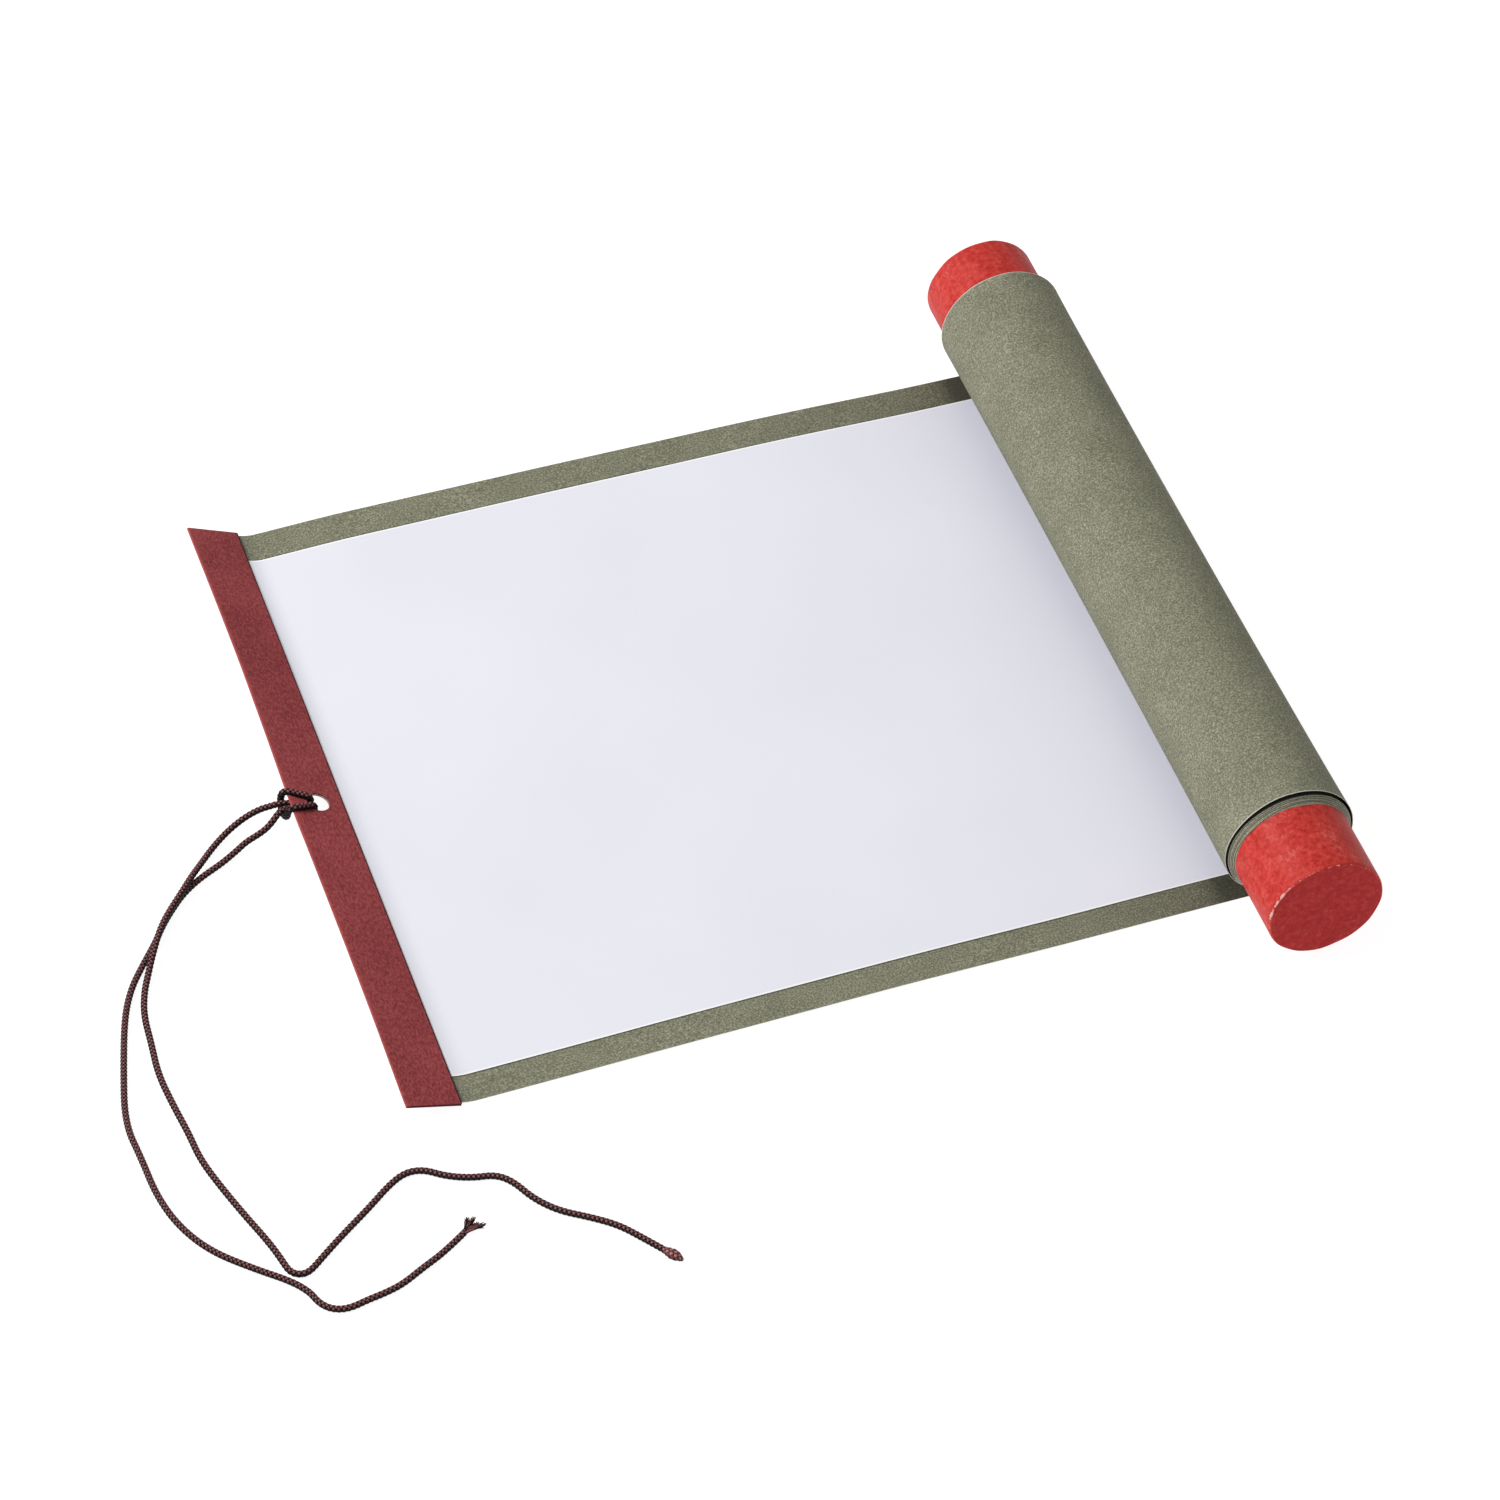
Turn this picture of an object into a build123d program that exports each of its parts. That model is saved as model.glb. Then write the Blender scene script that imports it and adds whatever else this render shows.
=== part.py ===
from build123d import *
from math import cos, pi, radians, sin, tan
import os

os.makedirs("parts", exist_ok=True)

# Picture scroll, partly unrolled and lying on a table.
# Everything is in millimetres, +Z is up, and the table is at Z = 0.
# X runs along the sheet, from the folded end strip at -X to the roll at +X.
# Y runs along the roller. The near end of the roller points to -Y.

# Wooden roller
roller_diameter = 30.0
roller_length = 240.0
roller_edge_radius = 0.7

# Backing sheet and the drawing paper glued on it
backing_width = 200.0
backing_thickness = 0.16
paper_width = 182.0
paper_thickness = 0.08
glue_gap = 0.01
sheet_offset_y = 3.5
paper_offset_y = 3.17
flat_length = 199.5

# Rolled part: one loose outer turn round a tight bundle of half turns
loose_turn_radius = 17.05
turn_pitch = 0.27
tight_half_turns = 10
bare_half_turns = 2

# How far each turn inside the roll has crept out at the near end
telescope_depth = 2.5
telescope_outer_radius = 16.6

# The free end curls up off the table
curl_radius = 40.0
curl_angle = 19.5

# Folded end strip and its punched hole
strip_length = 201.5
strip_width = 14.4
strip_ply = 0.25
strip_start = 0.33
strip_fit = 0.01
paper_tuck = 2.6
hole_diameter = 6.0
hole_from_curl = 7.15
hole_offset_y = 4.75
punch_depth = 6.0

# Tie cord
cord_diameter = 1.8
frayed_length = 5.2
frayed_width = 4.6
frayed_height = 1.5
tip_length = 5.4
tip_width = 2.6
tip_height = 1.9
tip_rise = 1.1
tip_widest_at = 0.5
tip_point_radius = 0.3
corner_share = 0.45

# Values worked out from the ones above
sheet_thickness = backing_thickness + glue_gap + paper_thickness
half_pitch = turn_pitch / 2.0
roller_radius = roller_diameter / 2.0
innermost_radius = roller_radius + backing_thickness
slope = radians(curl_angle)
strip_outer_u = strip_start + strip_width
strip_low = -strip_fit - strip_ply
strip_high = sheet_thickness + strip_fit + strip_ply
fold_radius = (strip_high - strip_low) / 2.0
fold_centre_v = (strip_high + strip_low) / 2.0

# The contact line of the roll on the table is set so that X = 0 halves the length
slope_end_x = -flat_length - curl_radius * sin(slope)
slope_end_z = curl_radius * (1.0 - cos(slope))
reach_left = slope_end_x - (strip_outer_u - fold_radius) * cos(slope) + fold_centre_v * sin(slope) - fold_radius
contact_x = -(reach_left + loose_turn_radius) / 2.0


def on_slope(u, v):
    """X and Z of a point u along the curled-up end and v above its underside."""
    x = contact_x + slope_end_x - u * cos(slope) + v * sin(slope)
    z = slope_end_z + u * sin(slope) + v * cos(slope)
    return (x, z)


def half_turns():
    """Centre height, radius and side of each half turn, from the table inwards."""
    turns = []
    radius = loose_turn_radius
    bottom = 0.0
    turns.append((bottom + radius, radius, 1))
    top = bottom + 2.0 * radius
    radius = loose_turn_radius - half_pitch
    turns.append((top - radius, radius, -1))
    bottom = top - 2.0 * radius
    for i in range(tight_half_turns):
        radius = innermost_radius + half_pitch * (tight_half_turns - 1 - i)
        if i % 2 == 0:
            turns.append((bottom + radius, radius, 1))
            top = bottom + 2.0 * radius
        else:
            turns.append((top - radius, radius, -1))
            bottom = top - 2.0 * radius
    return turns


def sheet_side(offset, end_u, turns):
    """Edges of one face of a sheet, drawn on the XZ plane, offset from the underside."""
    curl_centre = (contact_x - flat_length, curl_radius)
    inner = curl_radius - offset
    curl_mid = (curl_centre[0] - inner * sin(slope / 2), curl_radius - inner * cos(slope / 2))
    free_end = on_slope(end_u, offset)
    slope_start = on_slope(0.0, offset)
    flat_start = (contact_x - flat_length, offset)
    flat_end = (contact_x, offset)
    edges = [
        Line(free_end, slope_start),
        ThreePointArc(slope_start, curl_mid, flat_start),
        Line(flat_start, flat_end),
    ]
    for centre_z, radius, side in turns:
        r = radius - offset
        start = (contact_x, centre_z - side * r)
        middle = (contact_x + side * r, centre_z)
        end = (contact_x, centre_z + side * r)
        edges.append(ThreePointArc(start, middle, end))
    return edges


def sheet_solid(low, high, end_u, turns, y_from, y_to):
    """A rolled sheet between two offsets, as one solid spiral."""
    outer = sheet_side(low, end_u, turns)
    inner = sheet_side(high, end_u, turns)
    caps = [Line(outer[0] @ 0, inner[0] @ 0), Line(outer[-1] @ 1, inner[-1] @ 1)]
    with BuildPart() as sheet:
        with BuildSketch(Plane.XZ.offset(-y_to)):
            with BuildLine():
                for edge in outer + inner + caps:
                    add(edge)
            make_face()
        extrude(amount=y_to - y_from)
    return sheet.part


def y_cone(y_start, y_end, radius_start, radius_end, centre_z):
    """A frustum lying along Y, between two radii."""
    length = y_end - y_start
    cone = Cone(radius_start, radius_end, length, align=(Align.CENTER, Align.CENTER, Align.MIN))
    return Pos(contact_x, y_start, centre_z) * Rot(-90, 0, 0) * cone


def hole_cutter():
    """The punched hole, square to the curled-up end."""
    x, z = on_slope(hole_from_curl, sheet_thickness / 2)
    punch = Cylinder(hole_diameter / 2, punch_depth)
    return Pos(x, hole_offset_y, z) * Rot(0, curl_angle, 0) * punch


def route_radii(points):
    """The radius at each corner of a cord's route: a share of its shorter run over the half turn."""
    corners = []
    for i in range(1, len(points) - 1):
        before = Vector(*points[i]) - Vector(*points[i - 1])
        after = Vector(*points[i + 1]) - Vector(*points[i])
        turn = before.get_angle(after)
        corners.append(corner_share * min(before.length, after.length) / tan(radians(turn / 2)))
    return corners


def cord_tube(points):
    """A round tube along straight runs joined by tangent arcs."""
    radii = route_radii(points)
    path = FilletPolyline(*points, radius=radii)
    start = Plane(origin=path @ 0, z_dir=path % 0)
    tube = sweep(start * Circle(cord_diameter / 2), path=path)
    section = pi * cord_diameter ** 2 / 4
    print("cord length", round(path.length, 1), "volume ratio", round(tube.volume / (section * path.length), 4))
    print("  smallest radius", round(min(radii), 2), "radii", [round(r, 1) for r in radii])
    return tube


# Wooden roller: one turned dowel with softened ends, its axis on the last half turn
turns = half_turns()
axis_z = turns[-1][0]
roller = Pos(contact_x, 0, axis_z) * Rot(90, 0, 0) * Cylinder(roller_radius, roller_length)
roller = fillet(roller.edges().filter_by(GeomType.CIRCLE), roller_edge_radius)

# Backing sheet: it is cut over-long at the near end, then trimmed to the crept turns
near_y = sheet_offset_y - backing_width / 2
far_y = sheet_offset_y + backing_width / 2
backing_end_u = strip_outer_u - fold_radius
backing = sheet_solid(0.0, backing_thickness, backing_end_u, turns, near_y - telescope_depth, far_y)
trim_box = Box(3 * flat_length, 2 * telescope_depth, 4 * loose_turn_radius)
trim_box = Pos(0, near_y - telescope_depth, loose_turn_radius) * trim_box
near_cone = y_cone(near_y - telescope_depth, near_y, roller_radius, telescope_outer_radius, axis_z)
far_cone = y_cone(far_y - telescope_depth, far_y, roller_radius, telescope_outer_radius, axis_z)
backing = backing - (trim_box - near_cone) - far_cone - hole_cutter()

# Drawing paper: glued on the backing and rolled up with it, short of the innermost turn
paper_low = backing_thickness + glue_gap
paper_turns = turns[:-bare_half_turns]
paper_y = paper_width / 2
drawing_paper = sheet_solid(
    paper_low, sheet_thickness, strip_start + paper_tuck, paper_turns,
    paper_offset_y - paper_y, paper_offset_y + paper_y,
)

# End strip: one folded ply below the sheet, round its edge and back above it
nose_u = strip_outer_u - fold_radius
slot_radius = fold_radius - strip_ply
with BuildPart() as strip:
    with BuildSketch(Plane.XZ.offset(-(sheet_offset_y + strip_length / 2))):
        with BuildLine():
            outer_low = Line(on_slope(strip_start, strip_low), on_slope(nose_u, strip_low))
            outer_fold = ThreePointArc(
                outer_low @ 1, on_slope(nose_u + fold_radius, fold_centre_v), on_slope(nose_u, strip_high)
            )
            outer_high = Line(outer_fold @ 1, on_slope(strip_start, strip_high))
            high_edge = Line(outer_high @ 1, on_slope(strip_start, strip_high - strip_ply))
            inner_high = Line(high_edge @ 1, on_slope(nose_u, strip_high - strip_ply))
            inner_fold = ThreePointArc(
                inner_high @ 1, on_slope(nose_u + slot_radius, fold_centre_v), on_slope(nose_u, strip_low + strip_ply)
            )
            inner_low = Line(inner_fold @ 1, on_slope(strip_start, strip_low + strip_ply))
            low_edge = Line(inner_low @ 1, outer_low @ 0)
        make_face()
    extrude(amount=strip_length)
end_strip = strip.part - hole_cutter()

# Tie cord, doubled: its middle loops round the edge of the strip, and both halves go
# down through the hole, back under the strip and out over the loop
hitch_route = [
    (-120.27, 6.30, 5.36), (-116.78, 5.80, 4.14), (-115.89, 5.80, 6.62), (-118.82, 6.95, 7.66),
    (-121.55, 8.05, 8.66), (-122.87, 8.55, 7.90), (-123.29, 8.65, 5.12), (-123.49, 7.55, 3.78),
    (-123.54, 4.85, 3.79), (-123.19, 2.75, 5.11), (-122.87, 2.25, 7.90), (-121.55, 2.15, 8.66),
    (-118.82, 2.45, 7.66), (-115.57, 3.15, 6.51), (-116.45, 3.15, 4.02), (-118.57, 4.20, 4.77),
    (-120.27, 4.45, 5.36),
]
long_tail_route = [
    (-120.27, 6.30, 5.36), (-121.96, 6.54, 5.97), (-124.05, 6.80, 6.23), (-126.20, 7.35, 5.50),
    (-128.68, 8.01, 4.60), (-131.73, 8.14, 3.40), (-135.23, 7.39, 2.20), (-138.94, 5.57, 1.35),
    (-143.05, 2.29, 1.10), (-146.91, -2.08, 1.60), (-150.87, -6.81, 2.60), (-154.34, -11.23, 3.05),
    (-157.19, -14.35, 2.95), (-160.35, -17.97, 2.80), (-163.22, -22.40, 2.75), (-166.40, -28.46, 2.30),
    (-168.66, -32.90, 1.25), (-171.03, -37.95, 0.90), (-173.01, -45.03, 0.90), (-173.60, -54.56, 0.90),
    (-174.49, -64.19, 0.90), (-173.57, -74.86, 0.90), (-172.34, -84.52, 0.90), (-171.80, -93.16, 0.90),
    (-169.05, -103.85, 0.90), (-165.90, -114.15, 0.90), (-164.02, -119.76, 0.90), (-162.79, -123.94, 0.90),
    (-161.95, -127.41, 0.90), (-161.42, -130.11, 0.90), (-160.93, -132.10, 0.90), (-159.77, -133.53, 0.90),
    (-158.10, -134.15, 0.90), (-156.43, -133.80, 0.90), (-154.59, -132.54, 0.90), (-151.84, -130.31, 0.90),
    (-146.44, -126.16, 0.90), (-137.78, -120.00, 0.90), (-131.88, -115.35, 0.90), (-127.20, -112.83, 0.90),
    (-122.65, -113.37, 0.90), (-118.33, -116.95, 0.90), (-112.68, -119.52, 0.90), (-107.02, -120.47, 0.90),
    (-103.60, -123.85, 0.90), (-100.81, -130.07, 0.90), (-96.19, -135.69, 0.90), (-89.74, -140.00, 0.90),
    (-84.30, -144.30, 0.90), (-80.49, -149.21, 0.90), (-76.37, -154.93, 0.90),
]
short_tail_route = [
    (-120.27, 4.45, 5.36), (-121.96, 4.72, 5.97), (-123.63, 4.55, 6.30), (-125.20, 3.77, 6.05),
    (-126.77, 2.64, 5.25), (-128.76, 1.62, 4.15), (-131.41, 1.25, 2.90), (-134.42, 0.95, 1.90),
    (-137.35, -0.52, 1.20), (-142.07, -3.29, 0.95), (-148.44, -6.23, 0.90), (-153.52, -9.73, 0.90),
    (-157.18, -13.55, 0.90), (-161.06, -18.17, 0.90), (-164.34, -23.21, 0.90), (-169.24, -29.46, 0.90),
    (-173.74, -35.71, 0.90), (-177.55, -43.99, 0.90), (-181.73, -59.08, 0.90), (-185.94, -76.31, 0.90),
    (-184.93, -88.51, 0.90), (-184.43, -100.21, 0.90), (-181.88, -110.91, 0.90), (-176.70, -120.61, 0.90),
    (-168.35, -129.00, 0.90), (-161.41, -135.15, 0.90), (-158.10, -139.65, 0.90), (-157.11, -143.12, 0.90),
    (-155.31, -145.58, 0.90), (-152.68, -147.02, 0.90), (-149.64, -147.14, 0.90), (-146.19, -146.34, 0.90),
    (-141.83, -145.75, 0.90), (-136.95, -144.55, 0.90), (-131.26, -141.52, 0.90), (-124.95, -138.60, 0.90),
    (-119.05, -134.66, 0.90),
]
cord_hitch = cord_tube(hitch_route)
cord_long_tail = cord_tube(long_tail_route)
cord_short_tail = cord_tube(short_tail_route)


def end_plane(route, distance, height):
    """A plane across the last run of a tail, some way past its end."""
    last = Vector(*route[-1])
    heading = (last - Vector(*route[-2])).normalized()
    spot = last + heading * distance
    return Plane(origin=(spot.X, spot.Y, height), x_dir=heading.cross(Vector(0, 0, 1)), z_dir=heading)


# Sealed tip of the long tail: the cord's end melted to a small pointed bead
tip_sections = [
    end_plane(long_tail_route, 0, cord_diameter / 2) * Circle(cord_diameter / 2),
    end_plane(long_tail_route, tip_widest_at * tip_length, tip_rise) * Ellipse(tip_width / 2, tip_height / 2),
    end_plane(long_tail_route, tip_length, cord_diameter / 2) * Circle(tip_point_radius),
]
cord_sealed_tip = loft(tip_sections)

# Frayed end of the short tail: the braid opened to a small flat fan
fray_sections = [
    end_plane(short_tail_route, 0, cord_diameter / 2) * Circle(cord_diameter / 2),
    end_plane(short_tail_route, frayed_length, cord_diameter / 2) * Ellipse(frayed_width / 2, frayed_height / 2),
]
cord_frayed_end = loft(fray_sections)

nodes = {
    "roller": roller,
    "backing_sheet": backing,
    "drawing_paper": drawing_paper,
    "end_strip": end_strip,
    "cord_hitch": cord_hitch,
    "cord_long_tail": cord_long_tail,
    "cord_short_tail": cord_short_tail,
    "cord_sealed_tip": cord_sealed_tip,
    "cord_frayed_end": cord_frayed_end,
}
for name, shape in nodes.items():
    export_step(shape, f"parts/{name}.step")

roll_length = pi * sum(radius for _, radius, _ in turns)
sheet_length = roll_length + flat_length + curl_radius * slope + backing_end_u
print("backing flat size", backing_width, "x", round(sheet_length, 1))
print("contact line x", round(contact_x, 3), "roller axis z", round(axis_z, 3))
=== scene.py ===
# %% [markdown]
# # A partly unrolled picture scroll
# A scroll is a long sheet of paper, glued to a wooden roller at one end and finished with a
# folded strip of card at the other. A thin braided cord is hitched through that strip and ties
# the scroll shut when it is rolled up. Here it lies open on a table.
#
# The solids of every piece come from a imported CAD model, which is loaded first and never moved.
# The cells below dress it: each builds one piece in the same place, in metres, and gives it a
# material made of nodes.

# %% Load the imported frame
import math

import bpy
import numpy as np
from mathutils import Matrix, Vector


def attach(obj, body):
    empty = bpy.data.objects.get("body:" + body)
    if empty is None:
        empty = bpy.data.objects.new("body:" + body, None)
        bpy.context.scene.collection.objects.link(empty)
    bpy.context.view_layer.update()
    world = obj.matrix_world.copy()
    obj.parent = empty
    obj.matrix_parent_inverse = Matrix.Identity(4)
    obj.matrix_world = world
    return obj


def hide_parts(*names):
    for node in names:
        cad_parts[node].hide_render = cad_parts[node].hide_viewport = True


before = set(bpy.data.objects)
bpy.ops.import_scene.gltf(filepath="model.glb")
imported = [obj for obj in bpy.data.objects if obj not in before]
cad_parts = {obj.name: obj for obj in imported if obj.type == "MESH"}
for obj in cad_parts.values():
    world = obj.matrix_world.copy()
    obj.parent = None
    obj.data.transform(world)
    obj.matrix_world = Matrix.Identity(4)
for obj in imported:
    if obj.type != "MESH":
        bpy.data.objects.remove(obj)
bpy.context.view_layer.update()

# %% [markdown]
# ## The camera
# The picture was taken from above the near left, about 1.4 m away, through a long lens, so
# parallel edges stay nearly parallel. A camera can be aimed with a constraint or by hand. Here
# its three axes are worked out from an azimuth, an elevation and a small roll, because those
# are the numbers that a fit to the straight edges of the object gives.

# %% Place the camera
CAMERA_PLACE = (-0.31748, -0.93082, 1.03315)
CAMERA_AZIMUTH = math.radians(-18.7218)
CAMERA_ELEVATION = math.radians(46.7055)
CAMERA_ROLL = math.radians(-0.3354)
SENSOR_WIDTH = 36.0
FOCAL_LENGTH = 134.345


def add_object(name, data):
    """A new object in the scene."""
    added = bpy.data.objects.new(name, data)
    bpy.context.scene.collection.objects.link(added)
    return added


def camera_axes(azimuth, elevation, roll):
    """The camera's right, up and viewing directions."""
    level = math.cos(elevation)
    ahead = Vector((-math.sin(azimuth) * level, math.cos(azimuth) * level, -math.sin(elevation)))
    right = Vector((math.cos(azimuth), math.sin(azimuth), 0))
    up = right.cross(ahead)
    turned_right = math.cos(roll) * right + math.sin(roll) * up
    turned_up = -math.sin(roll) * right + math.cos(roll) * up
    return turned_right, turned_up, ahead


right, up, ahead = camera_axes(CAMERA_AZIMUTH, CAMERA_ELEVATION, CAMERA_ROLL)
camera_data = bpy.data.cameras.new("camera")
camera_data.sensor_width = SENSOR_WIDTH
camera_data.lens = FOCAL_LENGTH
camera_data.clip_start = 0.05
camera_data.clip_end = 50.0
camera = add_object("camera", camera_data)
camera_turn = Matrix((right, up, -ahead)).transposed().to_4x4()
camera.matrix_world = Matrix.Translation(CAMERA_PLACE) @ camera_turn
bpy.context.scene.camera = camera
print("camera distance", round(Vector(CAMERA_PLACE).length, 3))

# %% [markdown]
# ## Small helpers
# Most pieces below are strips and tubes whose points follow a formula. Points worked out with
# NumPy and handed to `from_pydata` make such meshes quickly, and the same helpers serve every
# piece: they make the mesh, keep a number with each of its points and start a node material.

# %% Mesh helpers


def add_piece(name, points, faces, materials, face_material=None):
    """A smooth mesh object that rides on the scroll's only body."""
    mesh = bpy.data.meshes.new(name)
    mesh.from_pydata([tuple(p) for p in points], [], [tuple(f) for f in faces])
    for material in materials:
        mesh.materials.append(material)
    if face_material is not None:
        mesh.polygons.foreach_set("material_index", face_material)
    mesh.polygons.foreach_set("use_smooth", [True] * len(faces))
    mesh.update()
    piece = add_object(name, mesh)
    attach(piece, "root")
    print(name, len(points), "points", len(faces), "faces")
    return piece


def add_tone(piece, name, *values):
    """A number for each point of a piece, for its material to read. Points that get none have 0."""
    tone = piece.data.attributes.new(name, "FLOAT", "POINT")
    given = np.concatenate([np.ravel(part) for part in values])
    numbers = np.zeros(len(tone.data), np.float32)
    numbers[:len(given)] = given
    tone.data.foreach_set("value", numbers)


print("mesh helpers ready")

# %% Material helpers


def start_material(name, roughness, specular):
    """A node material, its node tree and its main shader."""
    material = bpy.data.materials.new(name)
    material.use_nodes = True
    shader = material.node_tree.nodes["Principled BSDF"]
    shader.inputs["Roughness"].default_value = roughness
    shader.inputs["Specular IOR Level"].default_value = specular
    return material, material.node_tree, shader


def add_node(tree, kind, inputs=(), **settings):
    """A node with settings, whose inputs are values or other nodes' outputs."""
    node = tree.nodes.new(kind)
    for key, value in settings.items():
        setattr(node, key, value)
    for key, value in dict(inputs).items():
        if isinstance(value, bpy.types.NodeSocket):
            tree.links.new(value, node.inputs[key])
        else:
            node.inputs[key].default_value = value
    return node


def add_ramp(tree, factor, stops):
    """A colour ramp from (place, colour) pairs."""
    ramp = add_node(tree, "ShaderNodeValToRGB", {"Fac": factor})
    while len(ramp.color_ramp.elements) < len(stops):
        ramp.color_ramp.elements.new(0.5)
    for element, (place, colour) in zip(ramp.color_ramp.elements, stops):
        element.position = place
        element.color = (*colour, 1)
    return ramp.outputs["Color"]


def add_grain(tree, coordinates, scale, detail=2.0, roughness=0.5, stretch=(1, 1, 1)):
    """Noise of a given scale, stretched along an axis where the grain runs."""
    mapping = add_node(tree, "ShaderNodeMapping", {"Vector": coordinates, "Scale": stretch})
    mapped = mapping.outputs["Vector"]
    inputs = {"Vector": mapped, "Scale": scale, "Detail": detail, "Roughness": roughness}
    return add_node(tree, "ShaderNodeTexNoise", inputs).outputs["Fac"]


def add_bump(tree, shader, height, distance, strength=1.0, below=None):
    """A bump from a height, on top of another bump if there is one."""
    inputs = {"Height": height, "Distance": distance, "Strength": strength}
    if below is not None:
        inputs["Normal"] = below
    bump = add_node(tree, "ShaderNodeBump", inputs)
    tree.links.new(bump.outputs["Normal"], shader.inputs["Normal"])
    return bump.outputs["Normal"]


def object_place(tree):
    """Coordinates fixed to the object, in metres."""
    return add_node(tree, "ShaderNodeTexCoord").outputs["Object"]


print("material helpers ready")

# %% [markdown]
# ## The tie cord: its line
# The cord is one length of round braid, about 56 cm long and 1.8 mm thick. It is doubled: the
# middle hangs round the edge of the strip, and both halves come down through the punched hole
# and out over that loop. A cord's shape is its centreline, so the line is made first, as a
# NURBS curve. A NURBS curve passes near its control points and bends smoothly between them,
# as a limp cord does. Most of both tails lies on the table, so those points are given as X and
# Y alone, and their centre is half the cord's thickness up.

# %% Points that the cord's three stretches follow
CORD_DIAMETER = 0.0018


def on_table(places):
    """Points of a cord that rests on the table."""
    return [(x, y, CORD_DIAMETER / 2) for x, y in places]


HITCH_ROUTE = [
    (-0.12027, 0.00630, 0.00536), (-0.11678, 0.00580, 0.00414), (-0.11589, 0.00580, 0.00662),
    (-0.11882, 0.00695, 0.00766), (-0.12155, 0.00805, 0.00866), (-0.12287, 0.00855, 0.00790),
    (-0.12329, 0.00865, 0.00512), (-0.12349, 0.00755, 0.00378), (-0.12354, 0.00485, 0.00379),
    (-0.12319, 0.00275, 0.00511), (-0.12287, 0.00225, 0.00790), (-0.12155, 0.00215, 0.00866),
    (-0.11882, 0.00245, 0.00766), (-0.11557, 0.00315, 0.00651), (-0.11645, 0.00315, 0.00402),
    (-0.11857, 0.00420, 0.00477), (-0.12027, 0.00445, 0.00536),
]

LONG_TAIL_ROUTE = [
    (-0.12027, 0.00630, 0.00536), (-0.12196, 0.00654, 0.00597), (-0.12405, 0.00680, 0.00623),
    (-0.12620, 0.00735, 0.00550), (-0.12868, 0.00801, 0.00460), (-0.13173, 0.00814, 0.00340),
    (-0.13523, 0.00739, 0.00220), (-0.13894, 0.00557, 0.00135), (-0.14305, 0.00229, 0.00110),
    (-0.14691, -0.00208, 0.00160), (-0.15087, -0.00681, 0.00260), (-0.15434, -0.01123, 0.00305),
    (-0.15719, -0.01435, 0.00295), (-0.16035, -0.01797, 0.00280), (-0.16322, -0.02240, 0.00275),
    (-0.16640, -0.02846, 0.00230), (-0.16866, -0.03290, 0.00125),
] + on_table([
    (-0.17103, -0.03795), (-0.17301, -0.04503), (-0.17360, -0.05456), (-0.17449, -0.06419),
    (-0.17357, -0.07486), (-0.17234, -0.08452), (-0.17180, -0.09316), (-0.16905, -0.10385),
    (-0.16590, -0.11415), (-0.16402, -0.11976), (-0.16279, -0.12394), (-0.16195, -0.12741),
    (-0.16142, -0.13011), (-0.16093, -0.13210), (-0.15977, -0.13353), (-0.15810, -0.13415),
    (-0.15643, -0.13380), (-0.15459, -0.13254), (-0.15184, -0.13031), (-0.14644, -0.12616),
    (-0.13778, -0.12000), (-0.13188, -0.11535), (-0.12720, -0.11283), (-0.12265, -0.11337),
    (-0.11833, -0.11695), (-0.11268, -0.11952), (-0.10702, -0.12047), (-0.10360, -0.12385),
    (-0.10081, -0.13007), (-0.09619, -0.13569), (-0.08974, -0.14000), (-0.08430, -0.14430),
    (-0.08049, -0.14921), (-0.07637, -0.15493),
])

SHORT_TAIL_ROUTE = [
    (-0.12027, 0.00445, 0.00536), (-0.12196, 0.00472, 0.00597), (-0.12363, 0.00455, 0.00630),
    (-0.12520, 0.00377, 0.00605), (-0.12677, 0.00264, 0.00525), (-0.12876, 0.00162, 0.00415),
    (-0.13141, 0.00125, 0.00290), (-0.13442, 0.00095, 0.00190), (-0.13735, -0.00052, 0.00120),
    (-0.14207, -0.00329, 0.00095),
] + on_table([
    (-0.14844, -0.00623), (-0.15352, -0.00973), (-0.15718, -0.01355), (-0.16106, -0.01817),
    (-0.16434, -0.02321), (-0.16924, -0.02946), (-0.17374, -0.03571), (-0.17755, -0.04399),
    (-0.18173, -0.05908), (-0.18594, -0.07631), (-0.18493, -0.08851), (-0.18443, -0.10021),
    (-0.18188, -0.11091), (-0.17670, -0.12061), (-0.16835, -0.12900), (-0.16141, -0.13515),
    (-0.15810, -0.13965), (-0.15711, -0.14312), (-0.15531, -0.14558), (-0.15268, -0.14702),
    (-0.14964, -0.14714), (-0.14619, -0.14634), (-0.14183, -0.14575), (-0.13695, -0.14455),
    (-0.13126, -0.14152), (-0.12495, -0.13860), (-0.11905, -0.13466),
])
print("route points", len(HITCH_ROUTE), len(LONG_TAIL_ROUTE), len(SHORT_TAIL_ROUTE))

# %% Turn a route into a smooth line


def smooth_line(name, route):
    """Points read from the NURBS curve of a route."""
    data = bpy.data.curves.new(name, "CURVE")
    data.dimensions = "3D"
    spline = data.splines.new("NURBS")
    spline.points.add(len(route) - 1)
    for point, place in zip(spline.points, route):
        point.co = (*place, 1)
    spline.order_u = 3
    spline.use_endpoint_u = True
    spline.resolution_u = 16
    holder = add_object(name, data)
    mesh = bpy.data.meshes.new_from_object(holder)
    line = np.array([v.co for v in mesh.vertices])
    bpy.data.objects.remove(holder)
    bpy.data.meshes.remove(mesh)
    return line


def run_of(line):
    """Distance along a line to each of its points."""
    return np.r_[0, np.cumsum(np.linalg.norm(np.diff(line, axis=0), axis=1))]


def line_length(line):
    """Length of a whole line."""
    return float(run_of(line)[-1])


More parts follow.
